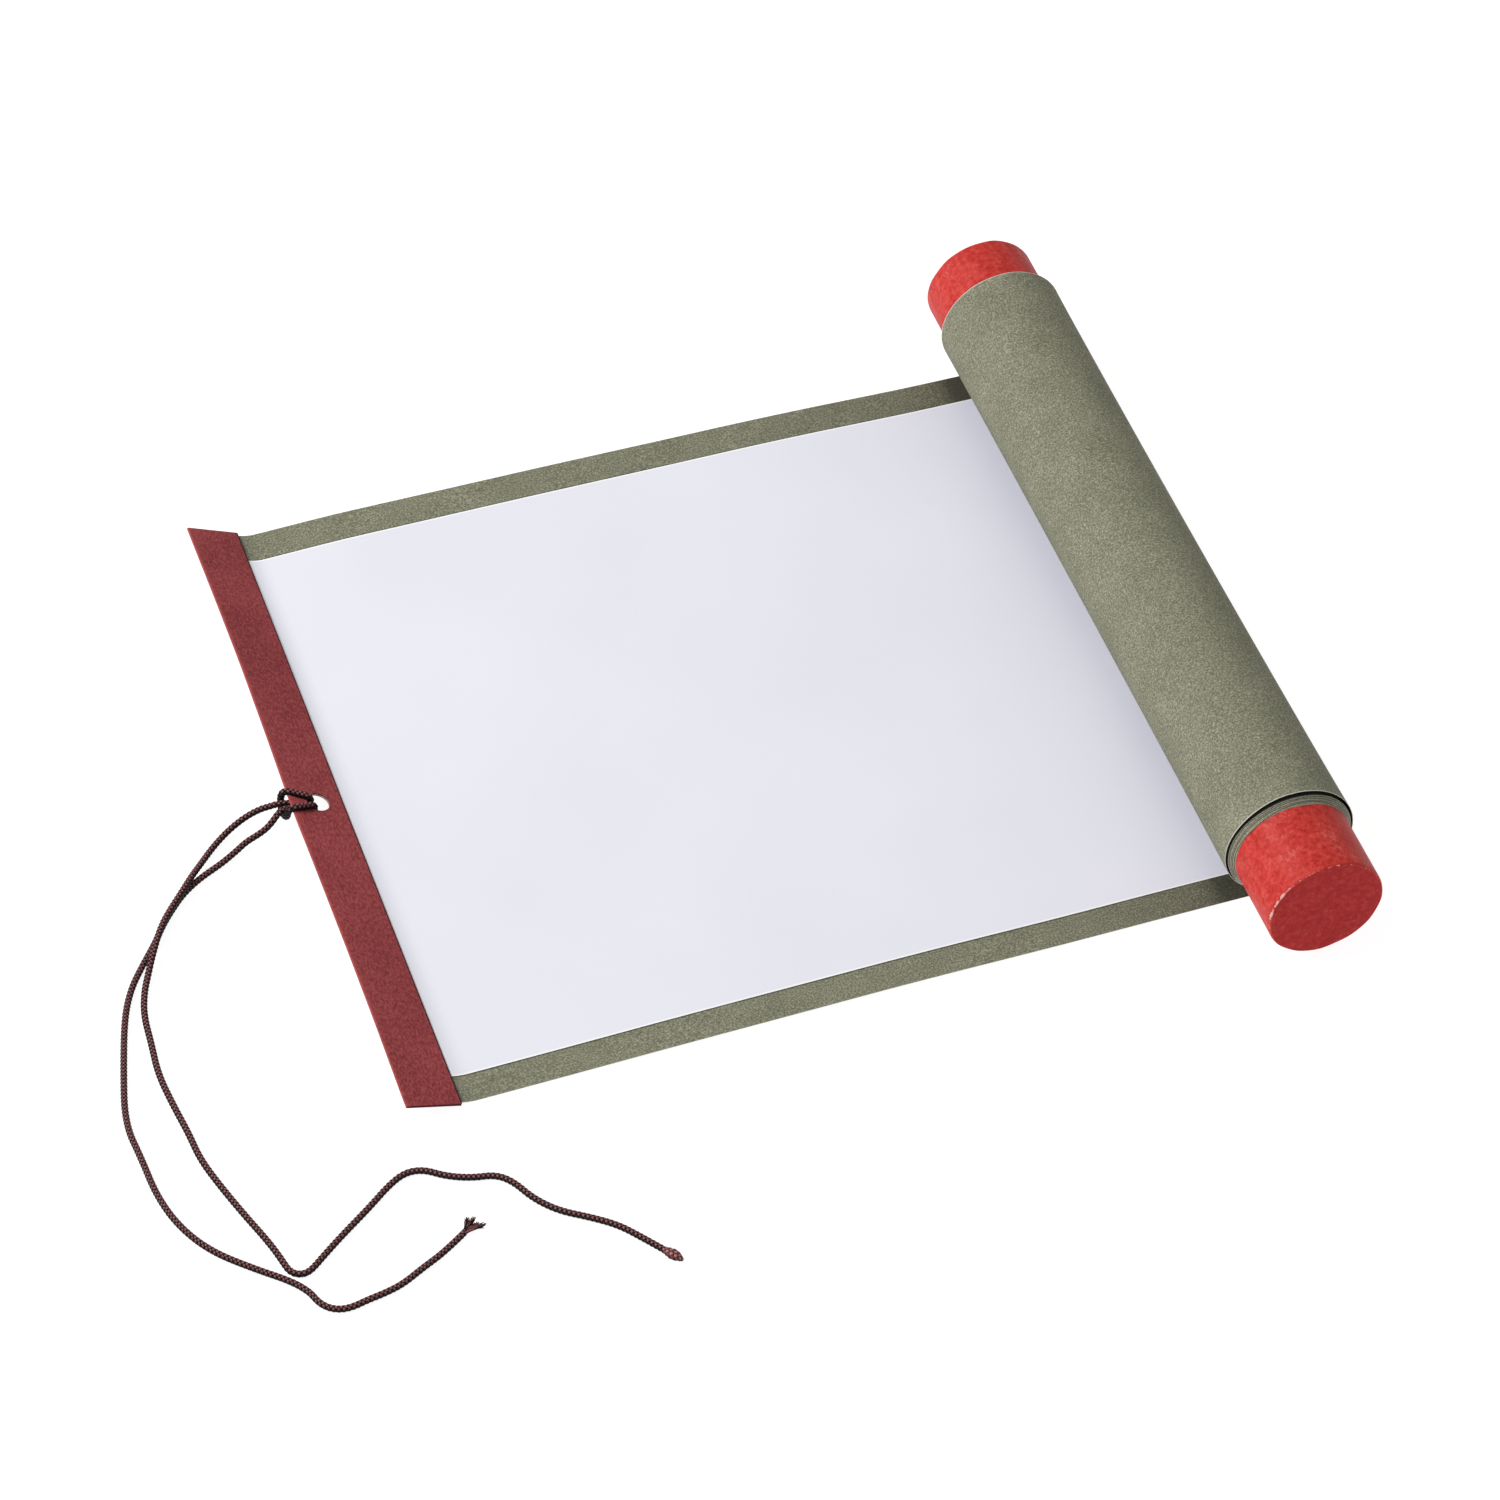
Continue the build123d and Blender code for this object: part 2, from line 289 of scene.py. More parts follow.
hitch_line = smooth_line("hitch_line", HITCH_ROUTE)
long_line = smooth_line("long_line", LONG_TAIL_ROUTE)
short_line = smooth_line("short_line", SHORT_TAIL_ROUTE)
for line in (hitch_line, long_line, short_line):
    print("line of", len(line), "points,", round(line_length(line) * 1000, 1), "mm")

# %% [markdown]
# ## The tie cord: its braid
# A round braid has eight strands. Four run round one way and four the other, and each passes
# over one and under the next. A texture on a plain tube would look flat at the edges of the
# cord, so every strand is a small flattened tube of its own. The three stretches are joined
# into one line first, which lets the strands run on from one stretch into the next.

# %% Sizes of the braid
STRANDS_EACH_WAY = 4
BRAID_PITCH = 0.0046
STRAND_CIRCLE = 0.00060
STRAND_RISE = 0.00011
STRAND_HALF_WIDTH = 0.00031
STRAND_HALF_THICKNESS = 0.00019
STRAND_CORNERS = 6
CORE_RADIUS = 0.00052
FRAY_LENGTH = 0.0052
TIP_LENGTH = 0.0054
TIP_RISE = 0.0002
STEP = 0.000165
braid_radius = STRAND_CIRCLE + STRAND_RISE + STRAND_HALF_THICKNESS
print("braid about", round(2000 * braid_radius, 2), "mm thick")

# %% Join the three stretches


def walk(line, step):
    """The line again, at even steps."""
    run = run_of(line)
    count = int(round(run[-1] / step)) + 1
    places = np.linspace(0, run[-1], count)
    return np.stack([np.interp(places, run, line[:, i]) for i in range(3)], 1)


def unit(vectors):
    """The same directions, one long."""
    return vectors / (np.linalg.norm(vectors, axis=-1, keepdims=True) + 1e-12)


def carried_axes(line):
    """Direction of the line at each point, and two cross directions that don't twist."""
    ahead = unit(np.gradient(line, axis=0))
    side = np.zeros_like(line)
    side[0] = unit(np.cross(ahead[0], (0, 0, 1.0)))
    for i in range(1, len(line)):
        side[i] = unit(side[i - 1] - ahead[i] * (side[i - 1] @ ahead[i]))
    return ahead, side, np.cross(ahead, side)


def carry_on(line, length, rise):
    """A straight run past a line's end, lifted in its middle."""
    ahead = unit((line[-1] - line[-4]) * (1, 1, 0))
    along = np.arange(1, int(length / STEP) + 1) * STEP
    run = line[-1] + along[:, None] * ahead
    run[:, 2] += rise * np.sin(math.pi * along / length)
    return run


# The whole cord in one line: frayed end, short tail, hitch, long tail, sealed tip
short_part = walk(short_line, STEP)
hitch_part = walk(hitch_line, STEP)[::-1]
long_part = walk(long_line, STEP)
frayed_part = carry_on(short_part, FRAY_LENGTH, 0.0)[::-1]
sealed_part = carry_on(long_part, TIP_LENGTH, TIP_RISE)
stretches = [frayed_part, short_part[::-1], hitch_part[1:], long_part[1:], sealed_part]
ends = np.cumsum([len(s) for s in stretches])
whole_line = np.vstack(stretches)
for _ in range(3):
    whole_line[1:-1] = (whole_line[:-2] + 2 * whole_line[1:-1] + whole_line[2:]) / 4
axes = carried_axes(whole_line)
run_along = run_of(whole_line)
FRAYED = slice(0, ends[0] + 1)
SHORT_TAIL = slice(ends[0], ends[1])
HITCH = slice(ends[1] - 1, ends[2])
LONG_TAIL = slice(ends[2] - 1, ends[3])
SEALED = slice(ends[3] - 1, ends[4])
print("whole cord", round(run_along[-1] * 1000, 1), "mm in", len(whole_line), "steps")

# %% One strand of the braid


def strand_points(part, hand, number, swell=1.0, flat=1.0):
    """Centre, outward direction and rise of one strand over a stretch of the cord."""
    side, over = axes[1][part], axes[2][part]
    turn = 2 * math.pi * run_along[part] / BRAID_PITCH
    angle = hand * turn + number * 2 * math.pi / STRANDS_EACH_WAY
    rise = hand * STRAND_RISE * np.cos(STRANDS_EACH_WAY * turn)
    reach = STRAND_CIRCLE * swell + rise
    out = np.cos(angle)[:, None] * side + np.sin(angle)[:, None] * over
    offset = out * reach[:, None]
    offset[:, 2] *= flat
    return whole_line[part] + offset, out, rise


def strand_tube(centre, out, half_width, half_thickness, corners=STRAND_CORNERS):
    """Points and faces of a flattened tube round a strand, closed at both ends."""
    ahead = unit(np.gradient(centre, axis=0))
    wide = unit(np.cross(ahead, out))
    out = np.cross(wide, ahead)
    turn = np.arange(corners) * 2 * math.pi / corners
    rings = (
        centre[:, None]
        + np.cos(turn)[None, :, None] * wide[:, None] * np.reshape(half_width, (-1, 1, 1))
        + np.sin(turn)[None, :, None] * out[:, None] * np.reshape(half_thickness, (-1, 1, 1))
    )
    ring = np.arange(len(centre) - 1)[:, None] * corners
    here = np.arange(corners)[None]
    after = (here + 1) % corners
    sides = np.stack([ring + here, ring + after, ring + corners + after, ring + corners + here], -1)
    last_ring = (len(centre) - 1) * corners
    caps = [list(range(corners))[::-1], list(range(last_ring, last_ring + corners))]
    return rings.reshape(-1, 3), sides.reshape(-1, 4).tolist() + caps


def gather(tubes):
    """Several tubes as one set of points and faces."""
    points, faces, start = [], [], 0
    for tube_points, tube_faces in tubes:
        points.append(tube_points)
        faces += [[i + start for i in f] for f in tube_faces]
        start += len(tube_points)
    return np.vstack(points), faces


def braid(part, swell=1.0, flat=1.0, core=CORE_RADIUS):
    """All strands of a stretch, with a plain core that fills the gaps between them."""
    half_width = STRAND_HALF_WIDTH * np.maximum(swell, 1) ** 0.7
    tubes, tones = [], []
    for hand in (1, -1):
        for number in range(STRANDS_EACH_WAY):
            centre, out, rise = strand_points(part, hand, number, swell, flat)
            tubes.append(strand_tube(centre, out, half_width, STRAND_HALF_THICKNESS))
            # Painted light and shade: a strand is lighter where it rises and where it faces up, and
            # darker along the cord's sides.
            upward = 0.25 + 0.75 * np.clip(1.25 * out[:, 2], 0, 1)
            tones.append(np.repeat((0.5 + 0.5 * rise / STRAND_RISE) * upward, STRAND_CORNERS))
    line = whole_line[part]
    upright = np.tile((0.0, 0.0, 1.0), (len(line), 1)) if np.ndim(core) else axes[1][part]
    tubes.append(strand_tube(line, upright, core, core * flat))
    # The core gets the darkest tone: painted shade between the strands.
    tones.append(np.zeros(STRAND_CORNERS * len(line)))
    points, faces = gather(tubes)
    return points, faces, np.concatenate(tones)


print("strands", 2 * STRANDS_EACH_WAY)

# %% [markdown]
# ## The tie cord: its finish
# The yarn is a dark reddish brown with a soft shine. Where a strand rises over its neighbour and
# where it faces up, a painted highlight lightens it, and painted shade makes the cord nearly black
# between strands and along its sides.
# How far each strand rises and faces up is kept with its points as an attribute, and a colour
# ramp reads it, which keeps the pattern in step with the braid in a way that no separate
# texture could.

# %% Material of the braided cord


def read_tone(tree, name):
    """The number of that name that is kept with a piece's points."""
    return add_node(tree, "ShaderNodeAttribute", attribute_name=name).outputs["Fac"]


def calculate(tree, operation, *values):
    """The result of an operation on values or other nodes' outputs."""
    return add_node(tree, "ShaderNodeMath", dict(enumerate(values)), operation=operation).outputs[0]


def cord_material(name, low, middle, high, roughness):
    """Yarn with painted shade between its strands and along its sides, and painted highlights on
    their crests.
    """
    material, tree, shader = start_material(name, roughness, 0.2)
    fibres = add_grain(tree, object_place(tree), 5200, 3.0, 0.6)
    worn = calculate(tree, "MULTIPLY_ADD", fibres, 0.55, -0.27)
    painted_light_and_tone = calculate(tree, "ADD", read_tone(tree, "painted_light_and_tone"), worn)
    colour = add_ramp(tree, painted_light_and_tone, [(0.20, low), (0.70, middle), (1.0, high)])
    tree.links.new(colour, shader.inputs["Base Color"])
    add_bump(tree, shader, fibres, 0.00004, 0.6)
    shader.inputs["Sheen Weight"].default_value = 0.03
    shader.inputs["Sheen Roughness"].default_value = 0.4
    shader.inputs["Sheen Tint"].default_value = (0.85, 0.6, 0.58, 1)
    return material


braided_yarn = cord_material(
    "braided_yarn", (0.003, 0.001, 0.0015), (0.019, 0.006, 0.007), (0.34, 0.13, 0.13), 0.5,
)
melted_yarn = cord_material(
    "melted_yarn", (0.030, 0.009, 0.009), (0.17, 0.055, 0.053), (0.46, 0.20, 0.185), 0.3,
)
print(braided_yarn.name, melted_yarn.name)

# %% [markdown]
# ## The tie cord: tails and hitch
# Each stretch stands for its plain CAD solid. In the hitch the cord is pressed against the card
# and itself, so its braid has spread a little there and is thicker than along the tails.

# %% Build the three stretches


def add_braid(name, made, material, node):
    """A piece of the cord from its points, faces and tones."""
    points, faces, tones = made
    piece = add_piece(name, points, faces, [material])
    add_tone(piece, "painted_light_and_tone", tones)
    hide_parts(node)
    return piece


long_tail = add_braid("long_tail", braid(LONG_TAIL), braided_yarn, "cord_long_tail")
short_tail = add_braid("short_tail", braid(SHORT_TAIL), braided_yarn, "cord_short_tail")
HITCH_SWELL = 0.17
hitch_share = np.linspace(0, 1, len(whole_line[HITCH]))
hitch_swell = 1 + HITCH_SWELL * np.clip(np.sin(math.pi * hitch_share) * 3, 0, 1)
hitch = add_braid("hitch_loop", braid(HITCH, hitch_swell), braided_yarn, "cord_hitch")

# %% [markdown]
# ## The sealed tip
# Heat has melted one end of the cord to a small pointed bead, so that it can't unravel. The
# strands swell apart, shine more and run together in a point. The same braid makes it, with a
# radius that first grows and then shrinks along the stretch, over a thick core.

# %% Build the sealed tip
TIP_CORE_RADIUS = 0.00058
tip_share = np.linspace(0, 1, len(whole_line[SEALED]))
tip_swell = np.interp(tip_share, (0, 0.2, 0.45, 0.7, 0.9, 1.0), (1.0, 1.5, 2.1, 1.7, 0.75, 0.12))
for _ in range(4):
    tip_swell[1:-1] = (tip_swell[:-2] + tip_swell[1:-1] + tip_swell[2:]) / 3
tip_flat = np.interp(tip_share, (0, 0.4, 1.0), (1.0, 0.58, 0.7))
tip_braid = braid(SEALED, tip_swell, tip_flat, TIP_CORE_RADIUS * tip_swell)
sealed_tip = add_braid("sealed_tip", tip_braid, melted_yarn, "cord_sealed_tip")

# %% [markdown]
# ## The frayed end
# The other end has opened into a flat brush. Its yarns leave the braid together, gather into
# four ragged tufts and curl a little as they go. Hair curves would need a renderer's own hair
# system, so each yarn is a thin tapering tube with a seeded random length and bend. A tuft is
# said by how far it stands to one side, its share of the full length and its height.

# %% Build the frayed end
TUFTS = [
    (-0.0022, 0.84, 0.0007), (-0.0009, 1.0, 0.0012), (0.0007, 0.90, 0.0006), (0.0022, 1.0, 0.0011),
]
YARN_COUNT = 96
YARN_POINTS = 12
YARN_CORNERS = 5
yarn_share = np.linspace(0, 1, YARN_POINTS)
fray_random = np.random.default_rng(7)
fray_start = whole_line[FRAYED][-1]
fray_ahead = unit(-axes[0][FRAYED][-1] * (1, 1, 0))
fray_side = np.cross(fray_ahead, (0, 0, 1))


def yarn_path(tuft):
    """Centreline of one loose yarn that starts in the braid and ends in a tuft."""
    across, reach, height = TUFTS[tuft]
    angle = fray_random.uniform(0, 2 * math.pi)
    inside = 0.00062 * math.sqrt(fray_random.uniform(0.05, 1))
    end_side = across + fray_random.normal(0, 0.00034)
    end_up = height - CORD_DIAMETER / 2 + fray_random.normal(0, 0.00018)
    bend = fray_random.normal(0, 0.00022) * np.sin(2.2 * math.pi * yarn_share) * yarn_share
    length = FRAY_LENGTH * reach * fray_random.uniform(0.72, 1.0)
    spread = yarn_share ** 1.1
    sideways = math.cos(angle) * inside * (1 - spread) + end_side * spread + bend
    upward = math.sin(angle) * inside * (1 - spread) + end_up * spread
    path = fray_start + fray_ahead * (yarn_share * length)[:, None] + fray_side * sideways[:, None]
    path[:, 2] += np.clip(upward, -0.00078, 0.0005)
    return path


yarn_radius = np.interp(yarn_share, (0, 0.7, 1), (0.00017, 0.00014, 0.00006))
yarn_out = np.tile(fray_side * 0.3 + (0, 0, 1.0), (YARN_POINTS, 1))
fray_tubes, fray_tones = [], []
for number in range(YARN_COUNT):
    path = yarn_path(number % len(TUFTS))
    fray_tubes.append(strand_tube(path, yarn_out, yarn_radius, yarn_radius, YARN_CORNERS))
    fray_tones.append(np.full(YARN_POINTS * YARN_CORNERS, fray_random.uniform(0.35, 1.0)))
fray_made = (*gather(fray_tubes), np.concatenate(fray_tones))
frayed_end = add_braid("frayed_end", fray_made, braided_yarn, "cord_frayed_end")

# %% [markdown]
# ## The tie cord: free ends
# Both tails are free cords with nothing on their ends.

# %% [markdown]
# ## How the paper lies
# Seen from its end, the sheet runs flat from the strip to the roll, turns up round the wooden
# dowel and winds inwards in half turns, each a little smaller than the last. That line is
# worked out once, and both papers are laid along it at their own height. A cloth simulation
# would not hold such a tight roll, while a formula keeps every turn clear of the next.

# %% Sizes of the sheet, in metres
CONTACT_X = 0.104834
AXIS_HEIGHT = 0.01678
FLAT_LENGTH = 0.1995
CURL_RADIUS = 0.040
CURL_ANGLE = math.radians(19.5)
BACKING_THICKNESS = 0.00016
PAPER_LOW = 0.00017
PAPER_HIGH = 0.00025
LOOSE_RADIUS = 0.01705
LOOSE_WAIST = 0.00042
HALF_PITCH = 0.000135
INNERMOST_TURN = 11
DOWEL_RADIUS = 0.015
NEAR_Y = -0.0965
FAR_Y = 0.1035
PAPER_MIDDLE = 0.00287
PAPER_HALF = 0.091
PAPER_NEAR = PAPER_MIDDLE - PAPER_HALF
PAPER_FAR = PAPER_MIDDLE + PAPER_HALF
END_CUT_FULL, END_CUT_NONE = 0.0075, 0.011
SLOPE_X = CONTACT_X - FLAT_LENGTH - CURL_RADIUS * math.sin(CURL_ANGLE)

# %% Every column of the sheet, from the free end inwards


def sheet_columns(end_runs, half_turn_count):
    """Kind and place of each column of points across the sheet."""
    cut_places = [CURL_ANGLE - END_CUT_FULL, CURL_ANGLE - END_CUT_NONE]
    curl_places = np.r_[cut_places, np.linspace(CURL_ANGLE, 0, 9)[1:]]
    shade_places = np.arange(0.0140, 0.0230, 0.0011)
    flat_places = np.sort(np.r_[np.linspace(FLAT_LENGTH, 0, 61)[1:], shade_places])[::-1]
    columns = [("slope", run) for run in end_runs]
    columns += [("curl", angle) for angle in curl_places]
    columns += [("flat", distance) for distance in flat_places]
    for turn in range(half_turn_count):
        columns += [(turn, angle) for angle in np.linspace(0, math.pi, 33)[1:]]
    return columns


def share_across(y):
    """How far a place is across the sheet, from 0 at its near edge to 1 at its far edge."""
    return (y - NEAR_Y) / (FAR_Y - NEAR_Y)


def turn_shape(turn, y):
    """Centre height, radius and side of a half turn. The loose turn is tighter in its middle."""
    share = share_across(y)
    loose = LOOSE_RADIUS - LOOSE_WAIST * np.clip(4 * share * (1 - share), 0, 1) ** 0.7
    side = 1 if turn % 2 == 0 else -1
    if turn == 0:
        return loose, loose, side
    if turn == 1:
        return loose + HALF_PITCH, loose - HALF_PITCH, side
    radius = DOWEL_RADIUS + BACKING_THICKNESS + HALF_PITCH * (INNERMOST_TURN - turn)
    centre = AXIS_HEIGHT - HALF_PITCH if side == 1 else AXIS_HEIGHT
    return centre + 0 * y, radius + 0 * y, side


def along_sheet(kind, place, height, y):
    """X and Z of points on a column past the free end, at a height above the underside."""
    if kind == "curl":
        x = CONTACT_X - FLAT_LENGTH - (CURL_RADIUS - height) * math.sin(place)
        z = CURL_RADIUS - (CURL_RADIUS - height) * math.cos(place)
    elif kind == "flat":
        x, z = CONTACT_X - place, height
    else:
        centre, radius, side = turn_shape(kind, y)
        x = CONTACT_X + side * (radius - height) * math.sin(place)
        z = centre - side * (radius - height) * math.cos(place)
    return x + 0 * y, z + 0 * y


print("free end starts to rise at", round(SLOPE_X, 5))

# %% [markdown]
# ## How far the paper stands off the table
# Paper that has been rolled never lies quite flat. In the picture the sheet arches a little
# between the roll and the strip, more along its far edge. The free end turns up, most steeply
# towards the far side, and dips a little where the cord hangs on it. This is a height that
# changes slowly over the sheet, and every paper piece follows it, so they stay on each other.

# %% Lift of the paper over the table
LIFT_STATIONS = np.linspace(0, 1, 9)
FAR_LIFT = np.array([3.9, 4.30, 3.95, 3.50, 3.05, 2.45, 1.60, 0.60, 0.0]) / 1000
NEAR_LIFT = np.array([0.0, 0.12, 0.36, 0.60, 0.65, 0.50, 0.30, 0.06, 0.0]) / 1000
END_ANGLES = np.radians([17.8, 20.6, 21.6, 21.4, 20.4, 24.2, 26.6, 26.4, 25.2])
BEND_RUN = 0.004
BLUR_WIDTH = 41
RIPPLE_HEIGHT = 0.00009
RIPPLE_BASE = 0.00012


def smooth_profile(values, share):
    """A smooth curve through values at the stations, flat at its ends."""
    fine = np.linspace(0, 1, 401)
    curve = np.interp(fine, LIFT_STATIONS, values)
    padded = np.pad(curve, BLUR_WIDTH, "edge")
    kernel = np.hanning(BLUR_WIDTH)
    curve = np.convolve(padded, kernel / kernel.sum(), "same")[BLUR_WIDTH:-BLUR_WIDTH]
    return np.interp(share, fine, curve)


def ripple(x, y):
    """Very shallow waves, as paper has that has been rolled up."""
    long_waves = np.sin(58 * x + 21 * y + 0.6) * np.cos(33 * y - 17 * x + 0.4)
    short_waves = 0.6 * np.sin(95 * x - 47 * y + 2.1)
    return RIPPLE_HEIGHT * (long_waves + short_waves)


def end_angle(y):
    """How steeply the free end rises, at a place across it."""
    return smooth_profile(END_ANGLES, share_across(y))


def paper_height(x, y):
    """Height of the sheet's underside over the table."""
    far_part = np.clip(share_across(y), 0, 1) ** 1.2
    share = np.clip((x - SLOPE_X) / (CONTACT_X - SLOPE_X), 0, 1)
    near_lift, far_lift = smooth_profile(NEAR_LIFT, share), smooth_profile(FAR_LIFT, share)
    past = SLOPE_X - x
    easing = np.clip(past + BEND_RUN, 0, None) ** 2 / (2 * BEND_RUN)
    bent = np.where(past > 0, past + BEND_RUN / 2, easing)
    calm = np.clip(share * 8, 0, 1) * np.clip((1 - share) * 6, 0, 1)
    lying = (1 - far_part) * near_lift + far_part * far_lift
    return lying + np.tan(end_angle(y)) * bent + calm * (ripple(x, y) + RIPPLE_BASE)


def drawn_height(x):
    """Height of the same underside in the CAD model, between the roll and the free end."""
    run = np.clip(CONTACT_X - FLAT_LENGTH - x, 0, CURL_RADIUS * math.sin(CURL_ANGLE))
    return CURL_RADIUS - np.sqrt(CURL_RADIUS ** 2 - run ** 2)


def lift(x, y):
    """How much higher the real paper lies than the drawn one."""
    return np.where(x < CONTACT_X, paper_height(x, y) - drawn_height(x), 0.0)


def slope_points(run, y, height):
    """Points on the free end, at places along and across it."""
    angle = end_angle(y)
    x = SLOPE_X - run * np.cos(angle) + height * np.sin(angle)
    return np.stack([x, y, paper_height(x, y) + height / np.cos(angle)], 1)


for y in (NEAR_Y, 0, FAR_Y):
    heights = paper_height(np.array([SLOPE_X, -0.05, 0.0, 0.05]), y) * 1000
    print("y", y, "underside", np.round(heights, 2), "mm")

# %% [markdown]
# ## A sheet with a punched hole
# A sheet is two grids of points, one for each face, joined round the edge by narrow faces of
# its real thickness. Where a hole is punched, a square patch of the grid is left out and a ring
# of faces runs from the patch's edge to a true circle. A Boolean modifier would cut the same
# hole, but it leaves long thin triangles that shade badly on paper.

# %% Marks across a grid
HOLE_RADIUS = 0.003
HOLE_RUN = 0.00715
HOLE_Y = 0.00475
PATCH_HALF = 0.0039
PATCH_GAP = 0.0002
PATCH_CELLS = 12


def with_patch(marks, middle):
    """Grid marks, with evenly spaced ones through the patch round a hole."""
    patch = np.linspace(middle - PATCH_HALF, middle + PATCH_HALF, PATCH_CELLS + 1)
    outside = marks[abs(marks - middle) > PATCH_HALF + PATCH_GAP]
    return np.sort(np.r_[outside, patch])


def patch_border(first_column, first_row):
    """Grid places round a patch, in order."""
    n = PATCH_CELLS
    border = [(i, 0) for i in range(n)] + [(n, j) for j in range(n)]
    border += [(n - i, n) for i in range(n)] + [(0, n - j) for j in range(n)]
    return [(first_column + i, first_row + j) for i, j in border]


print("hole", HOLE_RADIUS * 2000, "mm across")

# %% Faces of a sheet


def sheet_faces(columns, rows, patches):
    """Faces of both sides, the outer rim and the punched holes, with a material number each."""
    size = columns * rows
    faces, kinds = [], []
    cells = range(PATCH_CELLS)
    skipped = {(column + i, row + j) for column, row in patches for i in cells for j in cells}
    for c in range(columns - 1):
        for r in range(rows - 1):
            if (c, r) not in skipped:
                a, b = c * rows + r, (c + 1) * rows + r
                faces += [(a, a + 1, b + 1, b), (a + size, b + size, b + size + 1, a + size + 1)]
                kinds += [0, 1]
    last = (columns - 1) * rows
    rim = [(c * rows, (c + 1) * rows) for c in range(columns - 1)]
    rim += [(last + r, last + r + 1) for r in range(rows - 1)]
    rim += [((c + 2) * rows - 1, (c + 1) * rows - 1) for c in range(columns - 1)]
    rim += [(r + 1, r) for r in range(rows - 1)]
    faces += [(a, b, b + size, a + size) for a, b in rim]
    kinds += [2] * len(rim)
    start = 2 * size
    for column, row in patches:
        border = [c * rows + r for c, r in patch_border(column, row)]
        count = len(border)
        for i in range(count):
            k = (i + 1) % count
            faces += [
                (border[k], border[i], start + i, start + k),
                (border[i] + size, border[k] + size, start + count + k, start + count + i),
                (start + k, start + i, start + count + i, start + count + k),
            ]
            kinds += [0, 1, 2]
        start += 2 * count
    return faces, kinds


print("faces of a 3 x 3 grid", len(sheet_faces(3, 3, [])[0]))

# %% Make a sheet
SHARP_ANGLE = math.radians(40)


def hole_ring(runs, ys, first_column, first_row):
    """Runs and Ys of the hole's circle, one for each border point of the patch round it."""
    border = np.array(patch_border(first_column, first_row))
    angles = np.arctan2(ys[border[:, 1]] - HOLE_Y, runs[border[:, 0]] - HOLE_RUN)
    return HOLE_RUN + HOLE_RADIUS * np.cos(angles), HOLE_Y + HOLE_RADIUS * np.sin(angles)


def add_sheet(name, points, columns, rows, patches, materials):
    """A thin sheet from the points of both faces and of its hole rings."""
    faces, kinds = sheet_faces(columns, rows, patches)
    piece = add_piece(name, points, faces, materials, kinds)
    piece.data.set_sharp_from_angle(angle=SHARP_ANGLE)
    return piece


print("edges over", round(math.degrees(SHARP_ANGLE)), "degrees stay sharp")

# %% [markdown]
# ## Backing sheet: finish
# The backing is grey-green paper with a fine speckled grain, like pastel paper. Its cut edges show
# the paler core, and in the roll they are rubbed pale; part of that paleness is painted light on
# edges that lie in shade. A painted shadow makes a dark line beside the white paper, painted shade
# darkens the margin towards the roll, and painted shade makes the gap behind the loose turn black.
# The speckle is noise under a millimetre wide. The lines could be strips of their own, but two
# numbers kept with the points place them exactly, and the material mixes a pale and a dark tone
# in by them.

# %% Materials of the backing sheet
# Pale tone for rubbed edges, partly painted light; dark tone for painted shade.
RUBBED_AND_LIT_TONE = (0.60, 0.60, 0.54)
SHADED_TONE = (0.015, 0.016, 0.012)


def blend_noise(tree, share, first, second):
    """Two noises in one, with the given share of the second."""
    inputs = {"Factor": share, "A": first, "B": second}
    return add_node(tree, "ShaderNodeMix", inputs).outputs["Result"]


def lay_over(tree, share, below, colour):
    """A colour laid over what is below it, where its share is high."""
    inputs = {"Factor": share, "A": below, "B": (*colour, 1)}
    return add_node(tree, "ShaderNodeMix", inputs, data_type="RGBA").outputs["Result"]


def speckled_paper(name, tones, grain_width, contrast, roughness):
    """Paper with a fine grain of three tones, pale along rubbed edges with some painted light, and
    dark with painted shade in places.
    """
    material, tree, shader = start_material(name, roughness, 0.2)
    place = object_place(tree)
    grain = add_grain(tree, place, 1 / grain_width, 3.0, 0.75)
    cloud = add_grain(tree, place, 90, 3.0, 0.5)
    stops = list(zip((0.5 - contrast, 0.5, 0.5 + contrast), tones))
    colour = add_ramp(tree, blend_noise(tree, 0.1, grain, cloud), stops)
    pale = lay_over(tree, read_tone(tree, "rubbed"), colour, RUBBED_AND_LIT_TONE)
    deep = lay_over(tree, read_tone(tree, "shaded"), pale, SHADED_TONE)
    tree.links.new(deep, shader.inputs["Base Color"])
    add_bump(tree, shader, grain, 0.00004, 0.6)
    return material


green_tones = [(0.120, 0.121, 0.078), (0.204, 0.205, 0.144), (0.420, 0.405, 0.290)]
# The cut edges are pale: the paper's core, and partly painted light on edges that face away from
# the lamp.
cut_tones = [(0.40, 0.41, 0.33), (0.50, 0.51, 0.43), (0.62, 0.63, 0.55)]
green_paper = speckled_paper("green_paper", green_tones, 0.00047, 0.15, 0.85)
green_cut_edge = speckled_paper("green_cut_edge", cut_tones, 0.0006, 0.3, 0.9)
print(green_paper.name, green_cut_edge.name)

# %% [markdown]
# ## Backing sheet: shape
# Inside the roll the turns have crept sideways: they stand out as a shallow cone at the near
# end and sink in at the far end, because the sheet was wound slightly askew. Each column of the
# mesh gets its own two ends for that.

# %% Lay points along the sheet
TELESCOPE = 0.0025
TELESCOPE_RADIUS = 0.0166
END_RUN = 0.014345
ROLL_SHADOW = 0.0145
OUT_OF_SHADE = 1.0
EDGE_SHADOW_FULL, EDGE_SHADOW_NONE = 0.00030, 0.00042
CUT_FULL, CUT_NONE = 0.00012, 0.00026


def fade(distance, full, none):
    """One up to a distance, then falling to zero at another."""
    return np.clip((none - distance) / (none - full), 0, 1)


